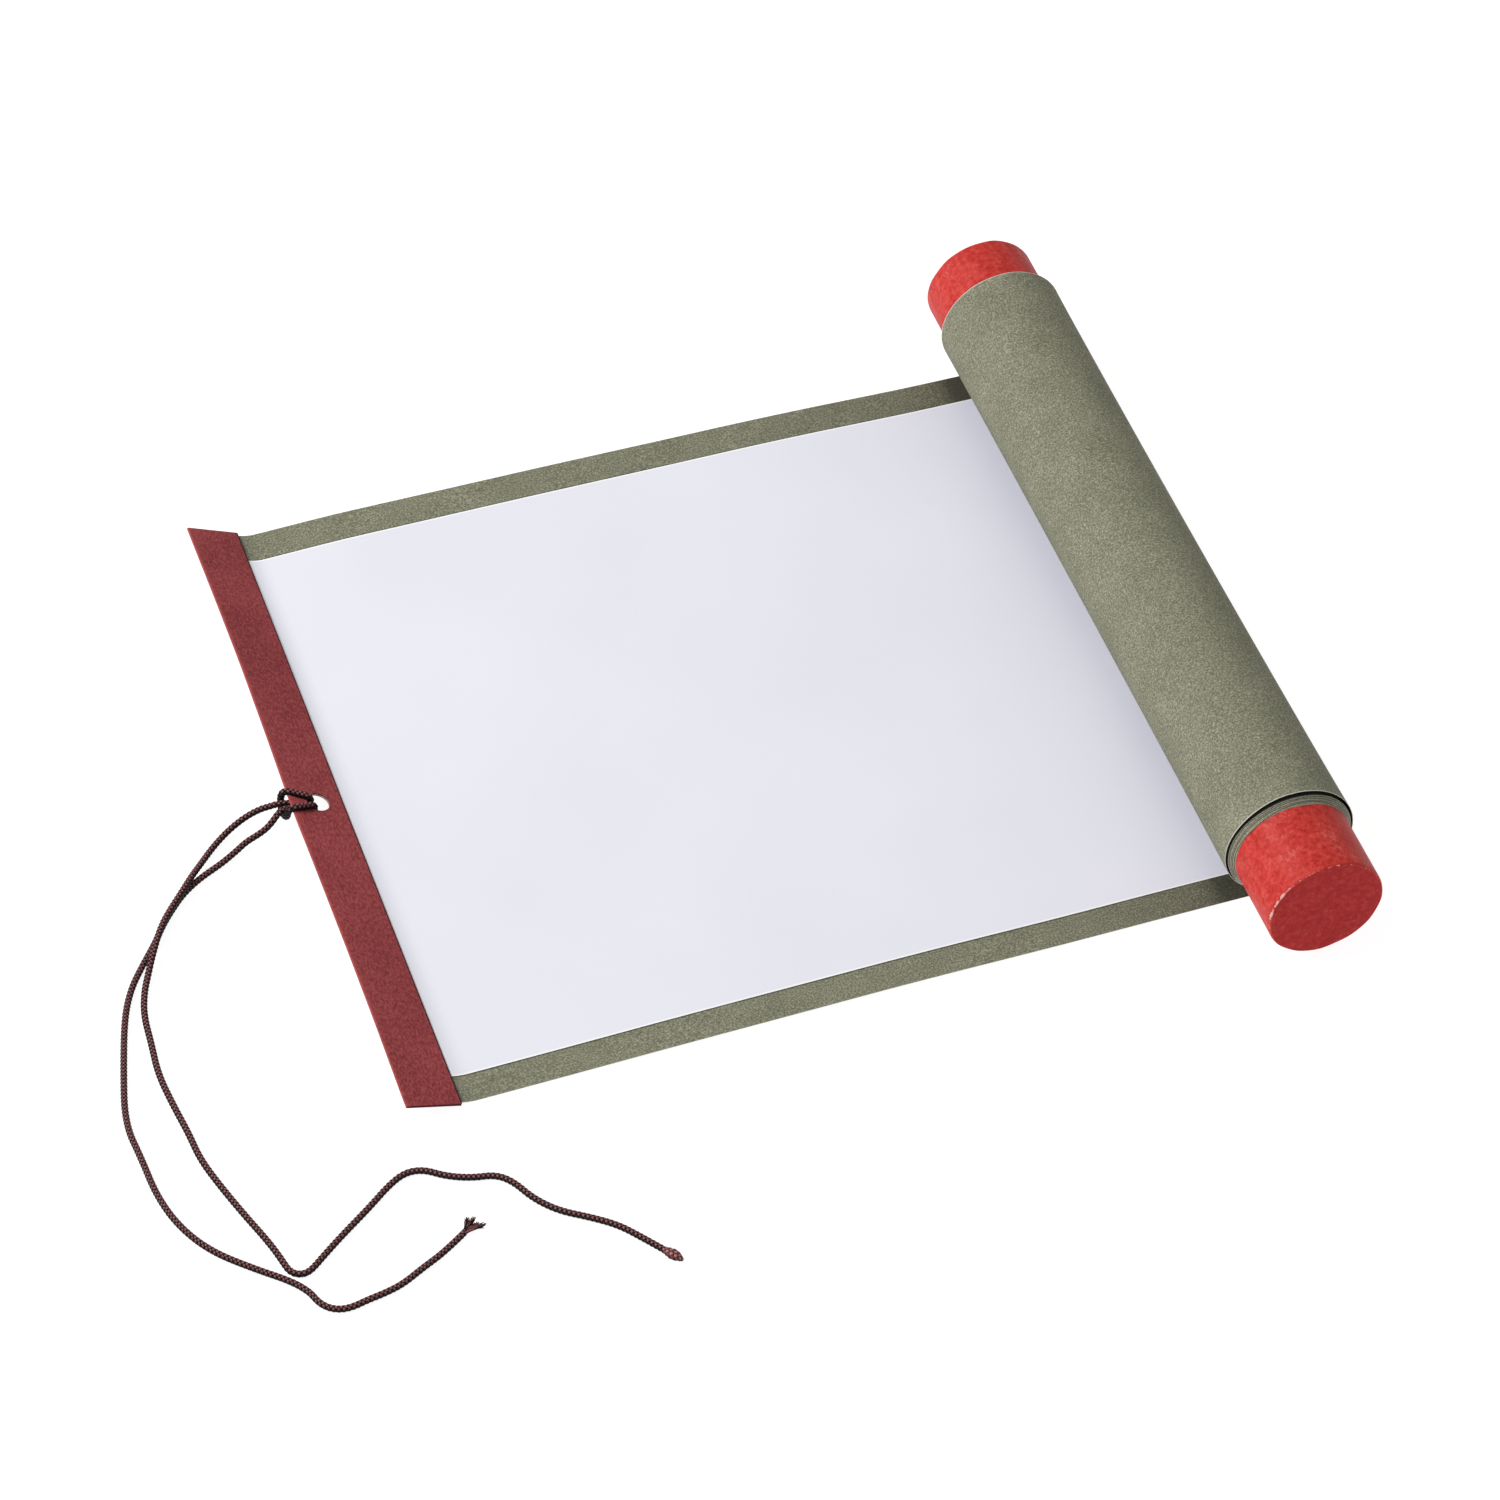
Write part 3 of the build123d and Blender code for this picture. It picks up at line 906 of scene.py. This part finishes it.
def crept_ends(kind, place):
    """Y of both ends of a column, after the turns have crept."""
    if not isinstance(kind, int):
        return NEAR_Y, FAR_Y
    x, z = along_sheet(kind, place, 0.0, np.array([NEAR_Y, FAR_Y]))
    radius = np.hypot(x - CONTACT_X, z - AXIS_HEIGHT)
    creep = TELESCOPE * fade(radius, DOWEL_RADIUS, TELESCOPE_RADIUS)
    wander = 0.00016 * math.sin(2.3 * place + 1.7 * kind)
    wander += 0.00009 * math.sin(5.1 * place + 0.8 * kind)
    inner = min(kind / 3, 1)
    return NEAR_Y - creep[0] + inner * wander, FAR_Y - creep[1] - inner * abs(wander)


def laid_points(columns, height, ends_of, y_marks):
    """Points of one face of a sheet, column by column."""
    across = (y_marks - y_marks[0]) / (y_marks[-1] - y_marks[0])
    points = []
    for kind, place in columns:
        low, high = ends_of(kind, place)
        y = low + (high - low) * across
        if kind == "slope":
            points.append(slope_points(place, y, height))
            continue
        x, z = along_sheet(kind, place, height, y)
        if not isinstance(kind, int):
            z = z + lift(x, y)
        points.append(np.stack([x, y, z], 1))
    return np.concatenate(points)


def beside_roll(columns):
    """Distance of each flat column from where the roll starts to hide the sheet."""
    return np.array([
        max(place - ROLL_SHADOW, 0.0) if kind == "flat" else OUT_OF_SHADE for kind, place in columns
    ])


print("innermost turn creeps", TELESCOPE * 1000, "mm")

# %% Build the backing sheet


def marks_beside(low, high, distances):
    """Marks at distances inside two edges, or outside them where a distance is negative."""
    return [low + d for d in distances] + [high - d for d in distances]


def nearest(marks, place):
    """Number of the mark nearest to a place."""
    return int(np.argmin(abs(marks - place)))


backing_runs = with_patch(np.linspace(0, END_RUN, 9), HOLE_RUN)[::-1]
backing_columns = sheet_columns(backing_runs, INNERMOST_TURN + 1)
edge_shadow_marks = marks_beside(PAPER_NEAR, PAPER_FAR, (0, -EDGE_SHADOW_FULL, -EDGE_SHADOW_NONE))
cut_marks = marks_beside(NEAR_Y, FAR_Y, (CUT_FULL, CUT_NONE))
backing_marks = np.sort(np.r_[np.linspace(NEAR_Y, FAR_Y, 81), edge_shadow_marks, cut_marks])
backing_rows = with_patch(backing_marks, HOLE_Y)
patch_column = nearest(backing_runs, HOLE_RUN + PATCH_HALF)
patch_row = nearest(backing_rows, HOLE_Y - PATCH_HALF)
ring_runs, ring_ys = hole_ring(backing_runs, backing_rows, patch_column, patch_row)
backing_points = np.concatenate([
    laid_points(backing_columns, 0.0, crept_ends, backing_rows),
    laid_points(backing_columns, BACKING_THICKNESS, crept_ends, backing_rows),
    slope_points(ring_runs, ring_ys, 0.0),
    slope_points(ring_runs, ring_ys, BACKING_THICKNESS),
])
backing = add_sheet(
    "backing_sheet_paper", backing_points, len(backing_columns), len(backing_rows),
    [(patch_column, patch_row)], [green_paper, green_paper, green_cut_edge],
)
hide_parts("backing_sheet")

# %% Tone of the backing along its edges, with painted light and painted shade
turns = np.array([kind if isinstance(kind, int) else -1 for kind, _ in backing_columns])[:, None]
in_roll = turns >= 0
loose_turn = in_roll & (turns < 2)
next_turn = (turns == 2) | (turns == 3)
from_roll = beside_roll(backing_columns)[:, None]
from_edge = np.minimum(backing_rows - NEAR_Y, FAR_Y - backing_rows)
from_paper_edge = np.minimum(abs(backing_rows - PAPER_NEAR), abs(backing_rows - PAPER_FAR))
# Pale band along the cut edges in the roll: rubbing, and painted light on edges that lie in shade.
edge_rub_and_light = np.where(loose_turn, 1.0, 0.12 * in_roll) * fade(from_edge, CUT_FULL, CUT_NONE)
# Painted shade: the gap behind the loose turn and the inner face of that turn are made nearly
# black.
gap_shade = 0.9 * next_turn * (1 - fade(backing_rows - NEAR_Y, CUT_FULL, CUT_NONE))
inner_shade = 0.9 * loose_turn * np.clip(from_edge / 0.0001, 0, 1)
# Painted shadow: a dark line on the green beside the white paper's edge.
paper_edge_shadow = 0.62 * fade(from_paper_edge, EDGE_SHADOW_FULL, EDGE_SHADOW_NONE)
# Painted shade: the margin is made darker towards the roll.
roll_shade = 0.30 * np.exp(-((from_roll / 0.0036) ** 2)) + 0.50 * np.exp(-from_roll / 0.026)
top_shade = np.where(in_roll, inner_shade, np.maximum(paper_edge_shadow, roll_shade))
add_tone(backing, "rubbed", edge_rub_and_light)
add_tone(backing, "shaded", gap_shade, top_shade)
print("edge bands on", len(backing_rows), "rows")

# %% [markdown]
# ## Drawing paper
# The white sheet is glued on the backing and leaves a green margin along both long edges. It is
# smooth and matt, faintly blue-white, with shadows so soft that its shape shows only in slow
# changes of tone, and a painted highlight along its cut edges makes a thin bright line. Beside the
# roll painted shade makes it a little darker and bluer. It follows the same columns as the backing,
# a hair's breadth higher.

# %% Build the drawing paper
PAPER_END_RUN = 0.00293
PAPER_HALF_TURNS = 10
RIM_FULL, RIM_NONE = 0.0004, 0.00054


def white_paper_material():
    """Smooth white paper with a painted highlight along its cut rim and painted cool shade beside
    the roll.
    """
    material, tree, shader = start_material("white_paper", 0.78, 0.3)
    place = object_place(tree)
    fibre = add_grain(tree, place, 2600, 3.0, 0.6)
    cloud = add_grain(tree, place, 16, 2.0, 0.5)
    stops = [(0.3, (0.815, 0.818, 0.892)), (0.7, (0.862, 0.862, 0.930))]
    colour = add_ramp(tree, blend_noise(tree, 0.7, fibre, cloud), stops)
    # Painted highlight along the cut rim, then painted cool shade beside the roll.
    bright = lay_over(tree, read_tone(tree, "cut"), colour, (0.99, 0.99, 1.0))
    cool = lay_over(tree, read_tone(tree, "shaded"), bright, (0.10, 0.12, 0.45))
    tree.links.new(cool, shader.inputs["Base Color"])
    add_bump(tree, shader, fibre, 0.00002, 0.25)
    return material


def paper_ends(kind, place):
    """Y of both ends of a column, the same all along the paper."""
    return PAPER_NEAR, PAPER_FAR


white_paper = white_paper_material()
paper_columns = sheet_columns(np.linspace(PAPER_END_RUN, 0, 4), PAPER_HALF_TURNS)
rim_marks = marks_beside(PAPER_NEAR, PAPER_FAR, (RIM_FULL, RIM_NONE))
paper_rows = np.sort(np.r_[np.linspace(PAPER_NEAR, PAPER_FAR, 73), rim_marks])
paper_points = np.concatenate([
    laid_points(paper_columns, height, paper_ends, paper_rows) for height in (PAPER_LOW, PAPER_HIGH)
])
drawing_paper = add_sheet(
    "drawing_paper_sheet", paper_points, len(paper_columns), len(paper_rows),
    [], [white_paper] * 3,
)
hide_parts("drawing_paper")

# %% Tone of the drawing paper: painted highlight along its edges, painted shade beside the roll
from_rim = np.minimum(paper_rows - PAPER_NEAR, PAPER_FAR - paper_rows)
# Painted highlight: the cut rim and the cut end are made near white.
painted_end_highlight = np.array([
    float(kind == "slope" or (kind == "curl" and place > CURL_ANGLE - END_CUT_NONE))
    for kind, place in paper_columns
])
painted_rim_highlight = np.maximum(fade(from_rim, RIM_FULL, RIM_NONE), painted_end_highlight[:, None])
# Painted shade: the paper is made darker and bluer beside the roll.
paper_shade = np.repeat(0.17 * np.exp(-beside_roll(paper_columns) / 0.013), len(paper_rows))
add_tone(drawing_paper, "cut", painted_rim_highlight, painted_rim_highlight)
add_tone(drawing_paper, "shaded", paper_shade, paper_shade)
print("bright rim on", len(paper_rows), "rows")

# %% [markdown]
# ## End strip: finish
# The strip is dull maroon card. The crease along its outer edge has been rubbed, so it is lighter
# and redder there, and its cut edges are darker, with a painted shadow as a thin dark line along
# the inner one. The rubbed crease is a band a millimetre wide that follows the fold, broken up by
# noise.

# %% Material of the end strip


def maroon_card_material(name, dark, light, roughness):
    """Dull card that is rubbed pale along its crease, with a painted shadow line along its inner
    edge.
    """
    material, tree, shader = start_material(name, roughness, 0.2)
    place = object_place(tree)
    fibre = add_grain(tree, place, 1900, 3.0, 0.6, (1, 0.5, 1))
    cloud = add_grain(tree, place, 60, 2.0, 0.5)
    blend = blend_noise(tree, 0.2, fibre, cloud)
    body = add_ramp(tree, blend, [(0.38, dark), (0.62, light)])
    rubbed = calculate(tree, "MULTIPLY", read_tone(tree, "crease"), blend)
    share = add_ramp(tree, rubbed, [(0.1, (0, 0, 0)), (0.62, (1, 1, 1))])
    creased = lay_over(tree, share, body, (0.40, 0.075, 0.07))
    # Painted shadow: a thin dark line along the inner edge.
    shadowed = lay_over(tree, read_tone(tree, "shadow_line"), creased, (0.030, 0.007, 0.028))
    tree.links.new(shadowed, shader.inputs["Base Color"])
    add_bump(tree, shader, fibre, 0.00003, 0.4)
    return material


card_tones = (0.212, 0.031, 0.035), (0.402, 0.078, 0.080)
card_cut_tones = (0.10, 0.018, 0.020), (0.15, 0.030, 0.032)
maroon_card = maroon_card_material("maroon_card", *card_tones, 0.75)
maroon_cut_edge = maroon_card_material("maroon_cut_edge", *card_cut_tones, 0.8)
print(maroon_card.name, maroon_cut_edge.name)

# %% [markdown]
# ## End strip: shape
# The card is folded round the end of the backing, so it is a sheet whose path goes out below
# the paper, round the fold and back above it. The same grid builder makes it, with two
# patches, because the punch went through both plies.

# %% Path of the folded card
STRIP_START = 0.00033
STRIP_PLY = 0.00025
STRIP_MIDDLE = 0.0035
STRIP_HALF = 0.10075
STRIP_NEAR = STRIP_MIDDLE - STRIP_HALF
STRIP_FAR = STRIP_MIDDLE + STRIP_HALF
FOLD_CENTRE = 0.000125
FOLD_OUTER = 0.000385
SHADOW_LINE_FULL, SHADOW_LINE_NONE = 0.00024, 0.00036
CREASE_WIDTH = 0.0014


def strip_path():
    """Runs and heights of the inner and outer face, from the lower ply's edge to the upper's."""
    shadow_line_marks = [STRIP_START + SHADOW_LINE_FULL, STRIP_START + SHADOW_LINE_NONE]
    runs = with_patch(np.sort(np.r_[np.linspace(STRIP_START, END_RUN, 12), shadow_line_marks]), HOLE_RUN)
    radii = np.array([FOLD_OUTER - STRIP_PLY, FOLD_OUTER])
    path = [(run, run, *(FOLD_CENTRE - radii)) for run in runs]
    for angle in np.linspace(-math.pi / 2, math.pi / 2, 13)[1:-1]:
        across, upward = radii * math.cos(angle), radii * math.sin(angle)
        path.append((*(END_RUN + across), *(FOLD_CENTRE + upward)))
    path += [(run, run, *(FOLD_CENTRE + radii)) for run in runs[::-1]]
    return np.array(path), runs


strip_lines, strip_runs = strip_path()
strip_rows = with_patch(np.linspace(STRIP_NEAR, STRIP_FAR, 91), HOLE_Y)
print("strip path", len(strip_lines), "columns", len(strip_rows), "rows")

# %% Build the end strip


def strip_face(run_column, height_column):
    """Points of one face of the folded card."""
    return np.concatenate([
        slope_points(line[run_column], strip_rows, line[height_column]) for line in strip_lines
    ])


low_column = nearest(strip_runs, HOLE_RUN - PATCH_HALF)
high_column = len(strip_lines) - 1 - low_column - PATCH_CELLS
strip_patch_row = nearest(strip_rows, HOLE_Y - PATCH_HALF)
strip_patches = [(low_column, strip_patch_row), (high_column, strip_patch_row)]
strip_points = [strip_face(0, 2), strip_face(1, 3)]
for column, row in strip_patches:
    ring_runs, ring_ys = hole_ring(strip_lines[:, 0], strip_rows, column, row)
    for height in (2, 3):
        strip_points.append(slope_points(ring_runs, ring_ys, strip_lines[column, height]))
end_strip = add_sheet(
    "folded_strip", np.concatenate(strip_points), len(strip_lines), len(strip_rows),
    strip_patches, [maroon_card, maroon_card, maroon_cut_edge],
)
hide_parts("end_strip")
outer_runs = strip_lines[:, 1]
crease_share = fade(END_RUN + FOLD_OUTER - outer_runs, 0, CREASE_WIDTH) ** 1.5
# Painted shadow line along the inner edge of the card.
shadow_line_share = fade(outer_runs - STRIP_START, SHADOW_LINE_FULL, SHADOW_LINE_NONE)
for tone_name, share in (("crease", crease_share), ("shadow_line", shadow_line_share)):
    spread = np.repeat(share, len(strip_rows))
    add_tone(end_strip, tone_name, spread, spread)

# %% [markdown]
# ## Roller: finish
# The roller is a turned dowel with one coat of red paint. The wood's grain shows through as faint
# streaks along it, with fine nicks and pale flecks where the coat is thin. The two ends are painted
# a darker red, with a finer mottle. Each rim is pale in places: the paint is worn all round, and a
# painted highlight lies where the rim faces the lamp at the upper left. Streaks and nicks are noise
# stretched along the dowel, and one function makes both materials, with other tones.

# %% Material of the painted wood


def painted_wood_material(name, tones, grain, fleck, roughness, gloss):
    """Paint over wood: three tones, the stretch of the grain and the strength of the flecks."""
    material, tree, shader = start_material(name, roughness, gloss)
    place = object_place(tree)
    streaks = add_grain(tree, place, 420, 4.0, 0.6, grain)
    mottle = add_grain(tree, place, 700, 4.0, 0.7)
    stops = list(zip((0.36, 0.5, 0.66), tones))
    colour = add_ramp(tree, blend_noise(tree, 0.7, streaks, mottle), stops)
    nicks = add_grain(tree, place, 1900, 3.0, 0.7, (1, 0.4, 1))
    patches = add_grain(tree, place, 150, 2.0, 0.5)
    rare = calculate(tree, "MULTIPLY", nicks, patches)
    flecked = add_ramp(tree, rare, [(0.34, (0, 0, 0)), (0.40, (fleck, fleck, fleck))])
    nicked = lay_over(tree, flecked, colour, (0.78, 0.24, 0.20))
    # Pale rim: worn paint all round, and a painted highlight where the rim faces the lamp.
    rim_noise = add_grain(tree, place, 900, 3.0, 0.6)
    worn = calculate(tree, "MULTIPLY", read_tone(tree, "rim"), rim_noise)
    pale_rim_share = add_ramp(tree, worn, [(0.34, (0, 0, 0)), (0.44, (0.9, 0.9, 0.9))])
    with_pale_rim = lay_over(tree, pale_rim_share, nicked, (0.88, 0.52, 0.48))
    tree.links.new(with_pale_rim, shader.inputs["Base Color"])
    uneven = {
        "Value": mottle, "From Min": 0.3, "From Max": 0.7,
        "To Min": roughness - 0.1, "To Max": roughness + 0.15,
    }
    rough = add_node(tree, "ShaderNodeMapRange", uneven).outputs["Result"]
    tree.links.new(rough, shader.inputs["Roughness"])
    below = add_bump(tree, shader, streaks, 0.00008, 0.4)
    add_bump(tree, shader, mottle, 0.00006, 0.5, below)
    return material


side_tones = [(0.39, 0.021, 0.016), (0.550, 0.040, 0.032), (0.64, 0.086, 0.070)]
end_tones = [(0.32, 0.018, 0.017), (0.42, 0.027, 0.026), (0.54, 0.055, 0.050)]
painted_wood = painted_wood_material("painted_wood", side_tones, (1, 0.25, 1), 0.3, 0.5, 0.11)
painted_end = painted_wood_material("painted_end_grain", end_tones, (1, 1, 1), 0.12, 0.65, 0.08)
print(painted_wood.name, painted_end.name)

# %% [markdown]
# ## Roller: shape
# A turned piece is a profile spun round an axis. The profile here runs from the middle of one
# end, out over a rim that is softened by less than a millimetre, and along to the other end.
# The rim's softness changes a little on the way round, as sanding by hand leaves it.

# %% Spin the roller's profile
ROLLER_HALF = 0.120
EDGE_SOFTNESS = 0.0007
SPIN_STEPS = 160
CAP_SHARES = (0.15, 0.35, 0.55, 0.75, 0.88)
CAP_POINTS = len(CAP_SHARES) + 1
CAP_DEPTH = 0.00002
CAP_DOME = 0.00010
SIDE_PLACES = (0.1183, 0.1165, 0.11, 0.09)


def rim_softness(angle, end):
    """Radius of the softened rim at an angle round one end."""
    coarse = 0.22 * np.sin(3 * angle + end) + 0.16 * np.sin(7 * angle + 2.0 * end)
    return EDGE_SOFTNESS * (1 + coarse + 0.1 * np.sin(13 * angle))


def rim_wear_and_glint(angle):
    """How pale the rim is: worn paint all round, and a painted highlight that is strongest at its
    upper left, which faces the lamp.
    """
    left, top = (angle - 2.75) / 0.42, (angle - 1.7) / 0.5
    return 0.62 + 0.40 * math.exp(-(left ** 2)) + 0.1 * math.exp(-(top ** 2))


def roller_profile(angle):
    """Radius, Y and rim share of each profile point."""
    points = []
    for end in (-1, 1):
        soft = rim_softness(angle, end)
        cap = [
            (DOWEL_RADIUS * share, end * (ROLLER_HALF - CAP_DEPTH - CAP_DOME * share ** 4), 0.0)
            for share in CAP_SHARES
        ]
        rim = []
        for bend in np.linspace(0, math.pi / 2, 7):
            radius = DOWEL_RADIUS - soft * (1 - math.sin(bend))
            y = end * (ROLLER_HALF - CAP_DEPTH - CAP_DOME - soft * (1 - math.cos(bend)))
            rim.append((radius, y, math.sin(2 * bend)))
        side = [(DOWEL_RADIUS, end * y, 0.0) for y in SIDE_PLACES]
        run = cap + rim + side
        points.append(run if end < 0 else run[::-1])
    return points[0] + points[1]


roller_points, rim_wear_and_glint_values = [], []
for angle in np.linspace(0, 2 * math.pi, SPIN_STEPS, endpoint=False):
    for radius, y, share in roller_profile(angle):
        across, upward = radius * math.cos(angle), radius * math.sin(angle)
        roller_points.append((CONTACT_X + across, y, AXIS_HEIGHT + upward))
        rim_wear_and_glint_values.append(share * rim_wear_and_glint(angle))
ring = len(roller_profile(0.0))
roller_faces, roller_kinds = [], []
for i in range(SPIN_STEPS):
    a, b = i * ring, (i + 1) % SPIN_STEPS * ring
    roller_faces += [(a + j, a + j + 1, b + j + 1, b + j) for j in range(ring - 1)]
    roller_kinds += [int(j < CAP_POINTS or j >= ring - 1 - CAP_POINTS) for j in range(ring - 1)]
for y, j in ((-ROLLER_HALF + CAP_DEPTH / 2, 0), (ROLLER_HALF - CAP_DEPTH / 2, ring - 1)):
    middle = len(roller_points)
    roller_points.append((CONTACT_X, y, AXIS_HEIGHT))
    for i in range(SPIN_STEPS):
        a, b = i * ring + j, (i + 1) % SPIN_STEPS * ring + j
        roller_faces.append((middle, a, b) if j == 0 else (middle, b, a))
        roller_kinds.append(1)
roller = add_piece(
    "painted_roller", roller_points, roller_faces,
    [painted_wood, painted_end], roller_kinds,
)
add_tone(roller, "rim", rim_wear_and_glint_values)
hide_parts("roller")

# %% [markdown]
# ## Floor and light
# The scroll was shot on a lit white table, which shows no edge and hardly any shadow. The floor
# is a large white disc that glows, as such a table does. One broad soft lamp stands at the left
# and a little behind, and an even white sky fills the rest, so the roll is lightest on its left
# and the end of the roller that faces the camera is darker than its top.

# %% Lay the floor
FLOOR_RADIUS = 6
FLOOR_CORNERS = 64
FLOOR_HEIGHT = -0.00005
floor_mesh = bpy.data.meshes.new("floor")
floor_turn = np.linspace(0, 2 * math.pi, FLOOR_CORNERS, endpoint=False)
floor_points = [
    (FLOOR_RADIUS * math.cos(a), FLOOR_RADIUS * math.sin(a), FLOOR_HEIGHT) for a in floor_turn
]
floor_mesh.from_pydata(floor_points, [], [tuple(range(FLOOR_CORNERS))])
white_table, tree, shader = start_material("white_table", 0.9, 0.0)
table_tones = [(0, (0.24, 0.24, 0.24)), (1, (0.27, 0.27, 0.27))]
table_colour = add_ramp(tree, add_grain(tree, object_place(tree), 30), table_tones)
tree.links.new(table_colour, shader.inputs["Base Color"])
shader.inputs["Emission Color"].default_value = (1, 1, 1, 1)
shader.inputs["Emission Strength"].default_value = 0.92
floor_mesh.materials.append(white_table)
floor = add_object("floor", floor_mesh)
print("floor corners", FLOOR_CORNERS)

# %% Light the scene
LAMP_PLACE = Vector((-1.70, 0.80, 1.95))
lamp_data = bpy.data.lights.new("key_lamp", "AREA")
lamp_data.shape = "RECTANGLE"
lamp_data.size = 1.5
lamp_data.size_y = 1.1
lamp_data.energy = 65
lamp = add_object("key_lamp", lamp_data)
lamp.location = LAMP_PLACE
lamp.rotation_mode = "QUATERNION"
lamp.rotation_quaternion = (-LAMP_PLACE).to_track_quat("-Z", "Y")
world = bpy.data.worlds.new("white_sky")
world.use_nodes = True
sky = world.node_tree.nodes["Background"]
sky.inputs["Color"].default_value = (1.0, 1.0, 1.0, 1)
sky.inputs["Strength"].default_value = 0.36
bpy.context.scene.world = world
bpy.context.scene.view_settings.view_transform = "Standard"
